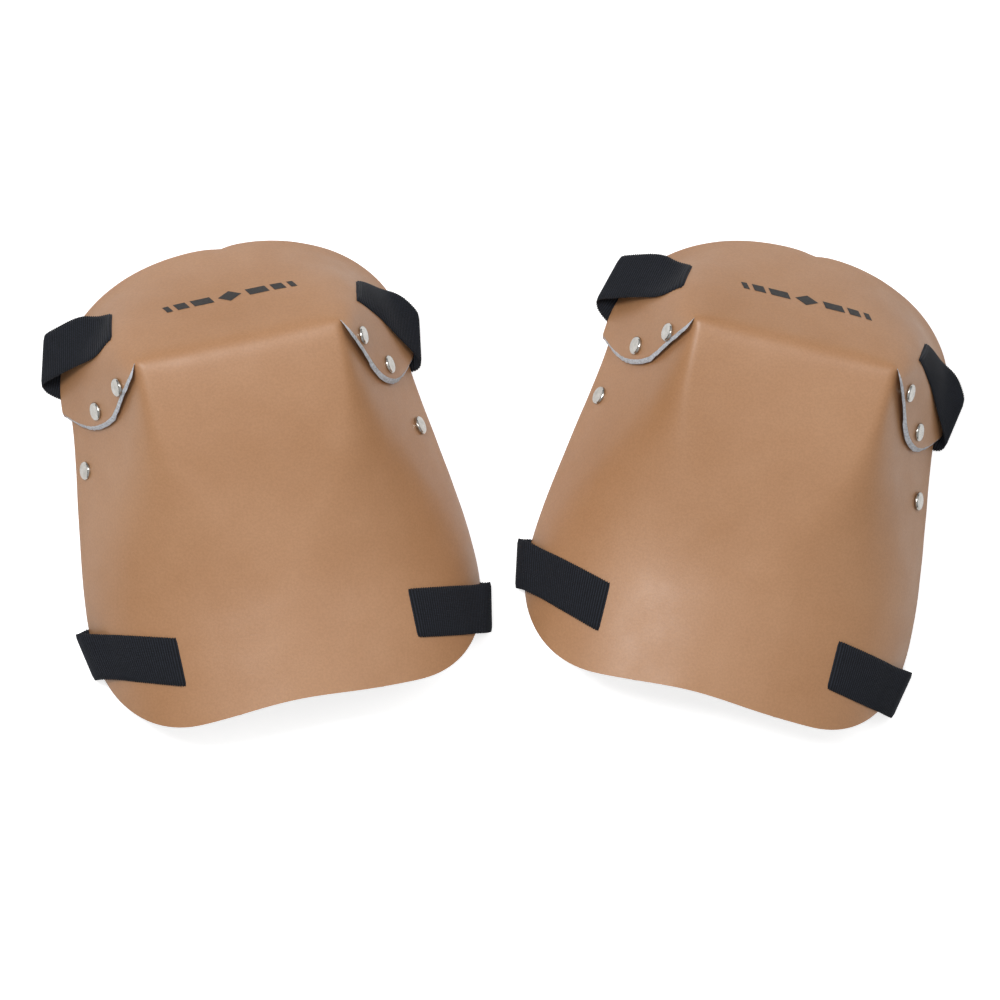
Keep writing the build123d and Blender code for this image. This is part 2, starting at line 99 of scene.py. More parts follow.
# Slots, narrower than in the frame so that they close round the webbing, pointed at the
# ends, and the lower pair moved towards the crown.
SLOT_LENGTH, SLOT_WIDTH, SLOT_POINT = 27.6, 2.2, 2.6
LOWER_SLOT_SHIFT = 1.4


# ---- shape of the shell ----

def smoothstep(t):
    t = min(max(t, 0.0), 1.0)
    return t * t * (3 - 2 * t)


def along_shell(y, at_crease, at_foot):
    """A size that eases from its value at the crease to its value near the foot."""
    return at_crease + (at_foot - at_crease) * smoothstep((CREASE_Y - y) / TAPER_LENGTH)


def height(y):
    return along_shell(y, CREASE_HEIGHT, FOOT_HEIGHT)


def shoulder(y):
    return along_shell(y, CREASE_SHOULDER, FOOT_SHOULDER)


def rim_half_width(y):
    return along_shell(y, CREASE_RIM, FOOT_RIM)


def sideways(y, depth):
    slope = atan2(height(y) - RIM_Z, rim_half_width(y) - shoulder(y))
    return depth / sin(slope)


def flare(y):
    """How a flank's slope changes on its way down: above 0 it ends less steep, below 0
    steeper."""
    return along_shell(y, CREASE_FLARE, FOOT_FLARE)


def sheet_height(x, y, depth=0.0):
    """Height of the face that lies depth under the shell's outer face."""
    top = height(y)
    half = shoulder(y)
    panel = top - PANEL_ARCH * (x / half) ** 2 - depth
    out = (abs(x) + sideways(y, depth) - half) / (rim_half_width(y) - half)
    start = 1 - flare(y)
    root = start**2 + 4 * flare(y) * max(out, -0.5)
    fall = 2 * out / (start + sqrt(max(root, 0.0)))
    flank = top - (top - RIM_Z) * fall
    softness = along_shell(y, CREASE_SOFTNESS, FOOT_SOFTNESS)
    overlap = max(softness - abs(panel - flank), 0.0) / softness
    return min(panel, flank) - overlap * overlap * softness / 4


def flank_x(y, z):
    fall = (height(y) - z) / (height(y) - RIM_Z)
    half = shoulder(y)
    return half + (rim_half_width(y) - half) * fall * (1 + flare(y) * (fall - 1))


def crown_size(z):
    level = min(z / CREASE_HEIGHT, 1.0)
    fall = 1 - level
    across = flank_x(CROWN_CENTRE_Y, z) + EAR_STANDOFF
    reach = CREASE_Y - CROWN_CENTRE_Y + CROWN_REACH * fall * (1.25 - 0.25 * fall)
    return across, reach, CROWN_SQUARENESS[0] + CROWN_SQUARENESS[1] * level**2


def crown_x(y, z):
    across, reach, power = crown_size(z)
    if y <= CROWN_CENTRE_Y:
        return flank_x(y, z) + EAR_STANDOFF
    along = min((y - CROWN_CENTRE_Y) / reach, 1.0)
    return across * (1 - along**power) ** (1 / power)


def crown_height(x, y):
    low, high = 0.0, CREASE_HEIGHT
    for _ in range(40):
        middle = (low + high) / 2
        if crown_x(y, middle) > abs(x):
            low = middle
        else:
            high = middle
    return low


def crown_at(turn, z):
    """Crown point at height z; turn is 90 degrees at the middle and negative on a leg.

    Turns run from the right ear's leg, through 90 degrees, to the left ear's leg."""
    mirrored = turn > pi / 2
    turn = pi - turn if mirrored else turn
    across, reach, power = crown_size(z)
    if turn < 0:
        y = CROWN_CENTRE_Y + LEG_RADIUS * turn
        x = crown_x(y, z)
    else:
        spread = (abs(cos(turn)) ** power + sin(turn) ** power) ** (-1 / power)
        x = across * spread * cos(turn)
        y = CROWN_CENTRE_Y + reach * spread * sin(turn)
    return Vector((-x if mirrored else x, y, z))


def crown_turn(x, y, z):
    """The turn of a crown point on the right side."""
    if y < CROWN_CENTRE_Y:
        return (y - CROWN_CENTRE_Y) / LEG_RADIUS
    across, reach, _ = crown_size(z)
    return atan2((y - CROWN_CENTRE_Y) / reach, x / across)


def crown_point(x, y):
    """Point and outward normal on the crown's outer face."""
    z = crown_height(x, y)
    step = 0.05
    slope_y = (crown_x(y + step, z) - crown_x(y - step, z)) / (2 * step)
    slope_z = (crown_x(y, z + step) - crown_x(y, z - step)) / (2 * step)
    side = 1 if x > 0 else -1
    return Vector((x, y, z)), Vector((side, -slope_y, -slope_z)).normalized()


def shell_point(x, y):
    """Point and outward normal on the panel or a flank."""
    step = 0.05
    slope_x = (sheet_height(x + step, y) - sheet_height(x - step, y)) / (2 * step)
    slope_y = (sheet_height(x, y + step) - sheet_height(x, y - step)) / (2 * step)
    return Vector((x, y, sheet_height(x, y))), Vector((-slope_x, -slope_y, 1)).normalized()


def corner_edge(y):
    """Half width of the sheet's outline at y, with its rounded foot corners."""
    if y > CORNER_START_Y:
        return rim_half_width(y)
    down = min((CORNER_START_Y - y) / (CORNER_START_Y - FOOT_Y), 1.0)
    bulge = (1 - down**CORNER_POWER) ** (1 / CORNER_POWER)
    return FOOT_FLAT_X + (FOOT_RIM - FOOT_FLAT_X) * bulge


def chain(points, t):
    """Catmull-Rom curve through points, t from 0 to 1."""
    last = len(points) - 1
    place = min(max(t, 0.0), 1.0) * last
    i = min(int(place), last - 1)
    f = place - i
    a, b = points[max(i - 1, 0)], points[i]
    c, d = points[i + 1], points[min(i + 2, last)]
    return [
        0.5 * (2 * q + (r - p) * f + (2 * p - 5 * q + 4 * r - s) * f * f
               + (3 * q - p - 3 * r + s) * f**3)
        for p, q, r, s in zip(a, b, c, d)
    ]


# ---- mesh helpers ----

def guard_matrix(side):
    """A guard's place, read from its lower plug's slide and its arm's pivot."""
    joints = {joint["name"]: joint for joint in frame["joints"]}
    across = Vector(joints[side + "_lower_plug_slide"]["axis"])
    pivot = Vector(joints[side + "_lower_arm_a_squeeze"]["pos_m"])
    along = Vector((-across.y, across.x, 0))
    origin = pivot - along * (LOWER_STRAP_Y + ARM_Y) * MM
    origin.z = 0
    turn = Matrix.Rotation(atan2(across.y, across.x), 4, "Z")
    return Matrix.Translation(origin) @ turn @ Matrix.Scale(MM, 4)


def mesh_object(name, points, faces, materials, smooth=True):
    mesh = bpy.data.meshes.new(name)
    mesh.from_pydata(points, [], faces)
    for material in materials:
        mesh.materials.append(material)
    mesh.polygons.foreach_set("use_smooth", [smooth] * len(mesh.polygons))
    piece = bpy.data.objects.new(name, mesh)
    bpy.context.scene.collection.objects.link(piece)
    return piece


def apply_modifiers(piece):
    graph = bpy.context.evaluated_depsgraph_get()
    mesh = bpy.data.meshes.new_from_object(piece.evaluated_get(graph))
    piece.modifiers.clear()
    old = piece.data
    piece.data = mesh
    bpy.data.meshes.remove(old)


def sharpen(piece, angle):
    """Smooth shading that breaks at edges sharper than the angle, in degrees."""
    mesh = piece.data
    bm = bmesh.new()
    bm.from_mesh(mesh)
    for edge in bm.edges:
        edge.smooth = edge.calc_face_angle(pi) < radians(angle)
    for face in bm.faces:
        face.smooth = True
    bm.to_mesh(mesh)
    bm.free()


# ---- leather shell ----

SHELL_ROUNDING = 0.5
CENTRE_COLUMNS = 48
FLANK_COLUMNS = 36
STRAIGHT_ROWS = 60
CORNER_ROWS = 26
CROWN_ROWS = 44
EAR_COLUMNS = 30
BEND_ROWS = 7
NOTCH_X, NOTCH_DEPTH, NOTCH_WIDTH = 5.0, 1.8, 6.0
RAW_EDGE_SLANT = 1.5


def body_row_ys():
    """Rows from the crease to the foot, close together where the corner is tight."""
    length = CREASE_Y - CORNER_START_Y
    ys = [CREASE_Y - length * i / STRAIGHT_ROWS for i in range(STRAIGHT_ROWS)]
    for i in range(CORNER_ROWS + 1):
        angle = pi / 2 * i / CORNER_ROWS
        ys.append(CORNER_START_Y - (CORNER_START_Y - FOOT_Y) * sin(angle) ** (2 / CORNER_POWER))
    return ys


def bowed(x, y):
    """The place along Y of a body point, with the foot edge cut in a shallow hollow."""
    near_foot = smoothstep((FOOT_Y + 30 - y) / 30)
    return y + near_foot * FOOT_BOW * exp(-(((x - FOOT_BOW_X) / FOOT_BOW_WIDTH) ** 2))


def body_xs(y):
    """Columns across one row, from the left edge to the right edge."""
    half, rim = shoulder(y), rim_half_width(y)
    squeeze = corner_edge(y) / rim
    side = [half + (rim - half) * i / FLANK_COLUMNS for i in range(1, FLANK_COLUMNS + 1)]
    middle = [half * (2 * i / CENTRE_COLUMNS - 1) for i in range(CENTRE_COLUMNS + 1)]
    return [x * squeeze for x in [-s for s in reversed(side)] + middle + side]


def ripple(point):
    """Slight unevenness of formed leather, in millimetres."""
    return 0.45 * noise.noise(point * 0.018) + 0.12 * noise.noise(point * 0.07)


def notched(point, t):
    """A crown point, with the shallow notch in the rim near the middle."""
    dip = NOTCH_DEPTH * t**6 * exp(-abs(point.x - NOTCH_X) / NOTCH_WIDTH)
    return Vector((point.x, point.y - dip, point.z))


def ear_boundary(t, left):
    """Turn and height of the ear's cut edge, from the corner to the rim."""
    x, y = chain(EAR_EDGE, t)
    if left:
        y += LEFT_EAR_LIFT * smoothstep(1.6 * t)
    z = max(crown_height(x, y), RIM_Z)
    return crown_turn(x, y, z), z


def crown_columns():
    """Each column as a function of t that gives (turn, height), left ear to right ear."""
    def level(t):
        return CREASE_HEIGHT + (RIM_Z - CREASE_HEIGHT) * t

    def centre(part):
        return lambda t: (pi / 2 - part * pi / 4, level(t))

    def ear(part, left):
        def place(t):
            turn, z = ear_boundary(t, left)
            turn = pi / 4 + (turn - pi / 4) * part
            z = level(t) + (z - level(t)) * part
            return (pi - turn if left else turn), z
        return place

    columns = [ear(1 - i / EAR_COLUMNS, True) for i in range(EAR_COLUMNS)]
    columns += [centre(2 * i / CENTRE_COLUMNS - 1) for i in range(CENTRE_COLUMNS + 1)]
    columns += [ear((i + 1) / EAR_COLUMNS, False) for i in range(EAR_COLUMNS)]
    return columns


def shell_surface():
    """Points and quads of the outer face: the body, then the crown past the crease.

    Also lists each ear's edge points, as (row, edge point, a point further in)."""
    points, faces = [], []
    rows = []
    for y in body_row_ys():
        rows.append(range(len(points), len(points) + len(body_xs(y))))
        for x in body_xs(y):
            points.append(Vector((x, bowed(x, y), sheet_height(x, y))))
    for near, far in zip(rows, rows[1:]):
        for i in range(len(near) - 1):
            faces.append((near[i], far[i], far[i + 1], near[i + 1]))
    crease = rows[0][FLANK_COLUMNS:FLANK_COLUMNS + CENTRE_COLUMNS + 1]
    columns = crown_columns()
    previous, ears = None, []
    for k in range(CROWN_ROWS + 1):
        t = k / CROWN_ROWS
        current = []
        for c, place in enumerate(columns):
            i = min(max(c - EAR_COLUMNS, 0), CENTRE_COLUMNS)
            start = points[crease[i]]
            if k == 0:
                current.append(crease[i])
                continue
            shift = (start - crown_at(*place(0.0))) * (1 - t) ** 4
            current.append(len(points))
            points.append(notched(crown_at(*place(t)) + shift, t))
        if previous:
            for c in range(len(columns) - 1):
                ring = [current[c], previous[c], previous[c + 1], current[c + 1]]
                face = list(dict.fromkeys(ring))
                faces.append(face)
        if k:
            ears += [(k, current[0], current[2]), (k, current[-1], current[-3])]
        previous = current
    bend_crease(points, crease, rows, rows[-1][-1] + 1, len(columns))
    return points, faces, ears


def bend_crease(points, crease, rows, crown_start, columns):
    """Rounds the bend between panel and crown, softer towards the middle."""
    for _ in range(10):
        fresh = {}
        for i, top in enumerate(crease):
            part = abs(2 * i / CENTRE_COLUMNS - 1)
            weight = 0.5 * (1 - part**6)
            line = [row[FLANK_COLUMNS + i] for row in rows[BEND_ROWS:0:-1]] + [top]
            for k in range(BEND_ROWS):
                line.append(crown_start + k * columns + EAR_COLUMNS + i)
            for a, b, c in zip(line, line[1:], line[2:]):
                middle = (points[a] + points[c]) / 2
                fresh[b] = points[b].lerp(middle, weight)
        for index, point in fresh.items():
            points[index] = point


def slot_prism(centre, normal, along):
    """Points and faces of a cutter for one strap slot, drawn in to a point at its ends."""
    across = normal.cross(along)
    long, wide = SLOT_LENGTH / 2, SLOT_WIDTH / 2
    straight = long - SLOT_POINT
    outline = [(-long, 0), (-straight, -wide), (straight, -wide),
               (long, 0), (straight, wide), (-straight, wide)]
    points = []
    for side in (-1, 1):
        for u, v in outline:
            points.append(centre + along * u + across * v + normal * side * 2.5 * LEATHER)
    count = len(outline)
    faces = [list(range(count)), [2 * count - 1 - i for i in range(count)]]
    for i in range(count):
        j = (i + 1) % count
        faces.append([j, i, count + i, count + j])
    return points, faces


def up_the_slope(normal):
    up = Vector((0, 0, 1))
    return (up - normal * up.dot(normal)).normalized()


def slot_cutter():
    """The cutters for a shell's four strap slots, as one object."""
    points, faces = [], []
    places = []
    for slot, lean in ((LEFT_CROWN_SLOT, LEFT_SLOT_LEAN), (RIGHT_CROWN_SLOT, RIGHT_SLOT_LEAN)):
        point, normal = crown_point(*slot)
        places.append((point, normal, in_surface(normal, lean, -1)))
    for x in (-LOWER_SLOT_X, LOWER_SLOT_X):
        point, normal = shell_point(x, LOWER_STRAP_Y + LOWER_SLOT_SHIFT)
        places.append((point, normal, in_surface(normal, 0, -1)))
    for place in places:
        prism, sides = slot_prism(*place)
        faces += [[len(points) + i for i in face] for face in sides]
        points += prism
    return mesh_object("slot_cutter", points, faces, [], smooth=False)


def leather_shell(side, matrix, materials):
    """The whole hide: its face, its thickness, ragged ears, slots and rounded edges."""
    points, faces, ears = shell_surface()
    outer_count = len(points)
    piece = mesh_object(side + "_shell", points, faces, materials)
    bm = bmesh.new()
    bm.from_mesh(piece.data)
    bmesh.ops.recalc_face_normals(bm, faces=bm.faces)
    bm.normal_update()
    if sum(face.normal.z for face in bm.faces) < 0:
        bmesh.ops.reverse_faces(bm, faces=bm.faces)
    bm.normal_update()
    for vert, normal in [(vert, vert.normal.copy()) for vert in bm.verts]:
        vert.co += normal * ripple(vert.co)
    bm.to_mesh(piece.data)
    bm.free()
    solid = piece.modifiers.new("thickness", "SOLIDIFY")
    solid.thickness = LEATHER
    solid.offset = -1
    solid.use_even_offset = True
    solid.thickness_clamp = 1.0
    solid.material_offset = 3
    solid.material_offset_rim = 1
    apply_modifiers(piece)
    rough_ear_edges(piece, outer_count, ears)
    for face in piece.data.polygons:
        if face.material_index == 1 and face.center.z > RIM_Z + 1.5 and face.center.y > 30:
            face.material_index = 2
    cutter = slot_cutter()
    cut = piece.modifiers.new("slots", "BOOLEAN")
    cut.object = cutter
    cut.operation = "DIFFERENCE"
    cut.solver = "EXACT"
    apply_modifiers(piece)
    bpy.data.objects.remove(cutter)
    round_edges(piece, SHELL_ROUNDING)
    piece.data.transform(matrix)
    sharpen(piece, 50)
    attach(piece, side + "_guard")
    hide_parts(side + "_leather_shell")
    return piece


def rough_ear_edges(piece, outer_count, ears):
    """Slants the ears' cut edges outwards to the inner face, and leaves them ragged."""
    verts = piece.data.vertices
    moves = []
    for row, edge, inward in ears:
        grow = smoothstep(row / 4)
        out = (verts[edge].co - verts[inward].co).normalized()
        rag = 0.5 * noise.noise(verts[edge].co * 0.55)
        moves.append((edge, out * grow * (0.6 * rag - 0.5)))
        moves.append((edge + outer_count, out * grow * (RAW_EDGE_SLANT + rag)))
    for index, move in moves:
        verts[index].co += move


def round_edges(piece, width):
    """Rounds every sharp edge by the width, in millimetres."""
    bevel = piece.modifiers.new("rounding", "BEVEL")
    bevel.width = width
    bevel.segments = 2
    bevel.limit_method = "ANGLE"
    bevel.angle_limit = radians(50)
    apply_modifiers(piece)


# ---- felt ----

FELT_ROUNDING = 2.2
FELT_CORNER = 14.0
FELT_ROWS, FELT_COLUMNS = 60, 84
RIVET_PULL, RIVET_PULL_WIDTH = 6.5, 9.0


def felt_pad(side, matrix, material):
    """The lining: two arched faces and a rounded edge, drawn in at the side rivets."""
    outer = LEATHER + STRAP_GAP + 0.3
    inner = LEATHER + STRAP_GAP + FELT
    rows, columns = FELT_ROWS, FELT_COLUMNS
    points, faces = [], []
    for depth in (outer, inner):
        for r in range(rows + 1):
            y = FELT_FOOT_Y + (FELT_CROWN_Y - FELT_FOOT_Y) * r / rows
            inset = FELT_CORNER * smoothstep((FELT_FOOT_Y + 26 - y) / 26) ** 2
            edge = rim_half_width(y) - sideways(y, depth) - 1.0 - inset
            for c in range(columns + 1):
                x = edge * (2 * c / columns - 1)
                pull = 0.0
                if depth == inner:
                    for rx, ry in SIDE_RIVETS:
                        near = hypot(x - rx * 0.86, y - ry)
                        pull += RIVET_PULL * exp(-((near / RIVET_PULL_WIDTH) ** 2))
                fluff = 0.35 * noise.noise(Vector((x, y, depth)) * 0.12)
                points.append(Vector((x, y, sheet_height(x, y, depth - pull) + fluff)))
    count = (rows + 1) * (columns + 1)
    width = columns + 1
    for r in range(rows):
        for c in range(columns):
            a = r * width + c
            faces.append((a, a + 1, a + width + 1, a + width))
            faces.append((count + a, count + a + width, count + a + width + 1, count + a + 1))
    border = [c for c in range(columns)]
    border += [columns + r * width for r in range(rows)]
    border += [rows * width + columns - c for c in range(columns)]
    border += [(rows - r) * width for r in range(rows)]
    for a, b in zip(border, border[1:] + border[:1]):
        faces.append((a, count + a, count + b, b))
    piece = mesh_object(side + "_felt_lining", points, faces, [material])
    round_edges(piece, FELT_ROUNDING)
    piece.data.transform(matrix)
    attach(piece, side + "_guard")
    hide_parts(side + "_felt_pad")
    return piece


# ---- webbing ----

FLAT = Vector((0, 0, 0))
OUTSIDE = 1.25
INSIDE = LEATHER + STRAP_GAP / 2
CROWN_INSIDE_GAP = 1.3
UNDER_Z = WEBBING / 2 + 0.1
RIB_PITCH, RIB_HEIGHT = 1.35, 0.2
SCALLOP = 0.26
ROWS_PER_RIB = 4
WEBBING_COLUMNS = 10

# One place along a strap: its middle, the direction across it, and how far its edges
# bend away from flat.
Station = namedtuple("Station", "centre side bend")


def station(centre, side, bend=FLAT):
    return Station(Vector(centre), Vector(side).normalized(), bend)


def between(a, b, part):
    return Station(*(start.lerp(end, part) for start, end in zip(a, b)))


def lift(place, distance):
    point, normal = place
    return point + normal * distance


def in_surface(normal, x, y):
    """The direction on a surface that reads as (x, y) in plan."""
    return Vector((x, y, -(normal.x * x + normal.y * y) / normal.z)).normalized()


def lying(place, distance, x, y, bend):
    """A station on the leather, across it in the direction that reads as (x, y) in plan."""
    return station(lift(place, distance), in_surface(place[1], x, y), place[1] * -bend)


def slot_crossing(slot, lean):
    """The stations inside and outside a crown slot, where the strap slants through."""
    place = crown_point(*slot)
    side = in_surface(place[1], lean, -1)
    inwards = side.cross(place[1])
    if inwards.x * slot[0] > 0:
        inwards = -inwards
    inside = station(lift(place, -INSIDE) + inwards * 4.0, side)
    outside = station(lift(place, OUTSIDE) - inwards * 1.6, side, place[1] * -1.2)
    return inside, outside


def lower_side(direction):
    """Half of the lower strap: out of the slot, over the flank and round the rim."""
    fold_x, fold_y, lean = RIGHT_FOLD if direction > 0 else LEFT_FOLD
    path = []
    for x in (15, 30, 42, 52, LOWER_SLOT_X - 1.2):
        path.append(station(lift(shell_point(direction * x, LOWER_STRAP_Y), -INSIDE), (0, -1, 0)))
    start = abs(fold_x) - 5
    for x in (LOWER_SLOT_X + 0.8, 64, 70, 77, 84, 90):
        part = (x - LOWER_SLOT_X) / (start - LOWER_SLOT_X)
        y = LOWER_STRAP_Y + (fold_y - LOWER_STRAP_Y) * part
        path.append(lying(shell_point(direction * x, y), OUTSIDE, lean * part, -1, 0.3))
    for out, z in ((2.6, 15), (0.5, 8.5), (0.0, 4.6)):
        path.append(station((fold_x - direction * out, fold_y, z), (lean, -1, 0)))
    path.append(station((fold_x - direction * 1.2, fold_y, UNDER_Z + 0.8), (lean, -1, 0)))
    return path + [station((x, y, UNDER_Z), side) for x, y, side in UNDER_RUNS[direction]]


UNDER_RUNS = {
    -1: [(-95, -64.6, (0.25, -1, 0)), (-82, -65.5, (0, -1, 0)), (-70, -71.5, (-0.3, -1, 0))],
    1: [(93, -82.4, (-0.2, -1, 0))],
}


def crown_inside():
    """The upper strap inside the crown, level from one slot to the other."""
    left, _ = slot_crossing(LEFT_CROWN_SLOT, LEFT_SLOT_LEAN)
    right, _ = slot_crossing(RIGHT_CROWN_SLOT, RIGHT_SLOT_LEAN)
    left_z = crown_point(*LEFT_CROWN_SLOT)[0].z
    right_z = crown_point(*RIGHT_CROWN_SLOT)[0].z
    path = [left]
    count = 9
    for i in range(1, count):
        part = i / count
        x = LEFT_CROWN_SLOT[0] + (RIGHT_CROWN_SLOT[0] - LEFT_CROWN_SLOT[0]) * part
        z = left_z + (right_z - left_z) * part
        across, reach, power = crown_size(z)
        y = CROWN_CENTRE_Y + reach * (1 - abs(x / across) ** power) ** (1 / power)
        place = crown_point(x, y)
        path.append(station(lift(place, -INSIDE - CROWN_INSIDE_GAP), up_the_slope(place[1])))
    return path + [right]


def softened(path):
    """The path again with its corners cut three times over, so that it flows."""
    for _ in range(3):
        fresh = [path[0]]
        for a, b in zip(path, path[1:]):
            fresh += [between(a, b, 0.25), between(a, b, 0.75)]
        path = fresh + [path[-1]]
    return path


def left_loop():
    """The upper strap outside the left slot: a loose loop that turns under the crown."""
    _, outside = slot_crossing(LEFT_CROWN_SLOT, LEFT_SLOT_LEAN)
    return softened([
        station((-58, 53.5, UNDER_Z), (-0.1, -1, 0)),
        station((-66, 60.5, UNDER_Z), (-0.42, -1, 0)),
        station((-77.6, 69.3, UNDER_Z), (-0.55, -1, 0)),
        station((-89.5, 77.0, UNDER_Z + 0.4), (-0.38, -1, 0)),
        station((-92.6, 81.2, 3.0), (-0.28, -1, 0)),
        station((-92.8, 83.2, 8.0), (-0.26, -1, 0)),
        station((-88, 84.8, 14.5), (-0.24, -1, 0.05)),
        station((-74.5, 88.8, 26), (-0.21, -1, 0.2)),
        station((-66.0, 88.4, 34.7), (-0.25, -0.8, 0.6)),
        outside,
    ])


def right_wrap():
    """The upper strap outside the right slot: flat on the ear, then round its rim."""
    _, outside = slot_crossing(RIGHT_CROWN_SLOT, RIGHT_SLOT_LEAN)
    path = [outside]
    for x, y, stand_off, bend in ((71.8, 80, 0.4, 2.0), (78, 74.4, 0.8, 2.2)):
        path.append(lying(crown_point(x, y), OUTSIDE + stand_off, -0.16, -1, bend))
    for x, y, z, tilt in (
        (86.3, 66.0, 13.0, 0.3), (90.6, 60.2, 8.5, 0.14), (93.2, 55.6, 5.0, 0.05),
        (93.0, 52.6, 2.2, 0.0), (90.5, 50.8, UNDER_Z, 0.0), (82, 51.4, UNDER_Z, 0.0),
    ):
        path.append(station((x, y, z), (-0.16, -1, tilt)))
    return softened(path)


def level_run(y, places):
    return [station((x, y, z), (0, -1, 0)) for x, z in places]


def buckle_hem(y):
    """The sewn end round the socket's bar, from its cut end to the long run."""
    bar = -39.0
    return level_run(y, [
        (bar - 16, 2.8), (bar - 4.5, 2.8), (bar - 1.4, 6.2), (bar + 4.0, 6.2),
        (bar + 4.6, UNDER_Z + 0.2), (bar - 17, UNDER_Z),
    ])


def ladder_tail(y):
    """The adjusting end: up through the plug's ladder and back over its bars."""
    return level_run(y, [
        (30, UNDER_Z), (12, UNDER_Z), (8.9, UNDER_Z + 0.1), (8.9, 6.3), (22, 6.3),
        (28, 2.5), (58, 2.5),
    ])


def rounded_path(stations, radius=3.0):
    """The stations with each corner rounded, as many close stations."""
    path = [stations[0]]
    for before, here, after in zip(stations, stations[1:], stations[2:]):
        ends = []
        for other in (before, after):
            gap = (other.centre - here.centre).length
            ends.append(between(here, other, min(radius / gap, 0.45)))
        for i in range(7):
            t = i / 6
            path.append(between(between(ends[0], here, t), between(here, ends[1], t), t))
    return path + [stations[-1]]


def even_path(path, step):
    """The path again at even steps along its length."""
    lengths = [0.0]
    for a, b in zip(path, path[1:]):
        lengths.append(lengths[-1] + (b.centre - a.centre).length)
    count = max(int(lengths[-1] / step), 2)
    result = []
    i = 0
    for k in range(count + 1):
        along = lengths[-1] * k / count
        while i < len(path) - 2 and lengths[i + 1] < along:
            i += 1
        span = max(lengths[i + 1] - lengths[i], 1e-9)
        result.append(between(path[i], path[i + 1], (along - lengths[i]) / span))
    return result


def webbing_ring(path, k):
    """One cross-section of the webbing, and its UV in ribs by millimetres."""
    place = path[k]
    tangent = path[min(k + 2, len(path) - 1)].centre - path[max(k - 2, 0)].centre
    tangent.normalize()
    side = place.side.normalized()
    normal = side.cross(tangent).normalized()
    wave = cos(2 * pi * k / ROWS_PER_RIB)
    half_width = WEBBING_WIDTH / 2 - SCALLOP + SCALLOP * wave
    points, uvs = [], []
    for face in (1, -1):
        for c in range(WEBBING_COLUMNS + 1):
            across = (2 * c / WEBBING_COLUMNS - 1) * face
            edge = min((1 - abs(across)) * 6, 1.0)
            half_thick = WEBBING / 2 - RIB_HEIGHT + RIB_HEIGHT * wave * face
            rise = half_thick * (0.45 + 0.55 * sqrt(edge)) * face
            middle = place.centre + place.bend * across**2
            points.append(middle + side * across * half_width + normal * rise)
            uvs.append((k / ROWS_PER_RIB, across * WEBBING_WIDTH / 2))
    return points, uvs


def webbing(name, stations, matrix, material):
    """Ribbed webbing along the stations, as a closed mesh."""
    path = even_path(rounded_path(stations), RIB_PITCH / ROWS_PER_RIB)
    points, faces, uvs = [], [], []
    ring = 2 * (WEBBING_COLUMNS + 1)
    for k in range(len(path)):
        ring_points, ring_uvs = webbing_ring(path, k)
        points += ring_points
        uvs += ring_uvs
    for k in range(len(path) - 1):
        for c in range(ring):
            d = (c + 1) % ring
            faces.append((k * ring + c, k * ring + d, (k + 1) * ring + d, (k + 1) * ring + c))
    last = (len(path) - 1) * ring
    faces.append(tuple(reversed(range(ring))))
    faces.append(tuple(range(last, last + ring)))
    piece = mesh_object(name, points, faces, [material])
    layer = piece.data.uv_layers.new(name="ribs_and_width")
    for loop in piece.data.loops:
        layer.data[loop.index].uv = uvs[loop.vertex_index]
    bm = bmesh.new()
    bm.from_mesh(piece.data)
    bmesh.ops.recalc_face_normals(bm, faces=bm.faces)
    bm.to_mesh(piece.data)
    bm.free()
    piece.data.transform(matrix)
    return piece


def strap_runs():
    """Each strap's long run, and its tail past the place where the two join."""
    left, right = softened(lower_side(-1)), softened(lower_side(1))
    middle = station(lift(shell_point(0, LOWER_STRAP_Y), -INSIDE), (0, -1, 0))
    lower_split = station((76, LOWER_STRAP_Y, UNDER_Z), (0, -1, 0))
    upper_split = station((74, 54, UNDER_Z), (0, -1, 0))
    lower = buckle_hem(LOWER_STRAP_Y) + left[::-1] + [middle] + right + [lower_split]
    upper = buckle_hem(UPPER_BUCKLE_Y) + left_loop() + crown_inside() + right_wrap()
    return {
        "lower": (lower, [lower_split] + ladder_tail(LOWER_STRAP_Y)),
        "upper": (upper + [upper_split], [upper_split] + ladder_tail(UPPER_BUCKLE_Y)),
    }


def straps(side, matrix, material):
    """Both straps of a guard. Each tail is baked in place on its own; the rest stays put."""
    guard = side + "_guard"
    for name, (main, tail) in strap_runs().items():
        piece = webbing(f"{side}_{name}_webbing", main, matrix, material)
        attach(piece, guard)
        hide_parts(f"{side}_{name}_strap")
        end = webbing(f"{side}_{name}_webbing_tail", tail, matrix, material)
        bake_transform(end)
        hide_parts(f"{side}_{name}_strap_tail")


# ---- printed mark ----

MARK_HALF_LENGTH, MARK_HEIGHT = 33.0, 9.0
MARK_MIDDLE_X, MARK_MIDDLE_Z = 2.5, 44.5
MARK_LIFT = 0.12


def mark_shapes():
    """A plain mark with no lettering: a diamond between slanted bars, three a side."""
    tall = MARK_HEIGHT / 2
    shapes = [[(-6, 0), (0, -tall), (6, 0), (0, tall)]]
    shift = 1.0
    bar = tall * 0.62
    for start, end in ((9, 19), (21.5, 27.5), (30, MARK_HALF_LENGTH)):
        for sign in (-1, 1):
            shapes.append([
                (sign * start - shift, -bar), (sign * end - shift, -bar),
                (sign * end + shift, bar), (sign * start + shift, bar),
            ])
    return shapes


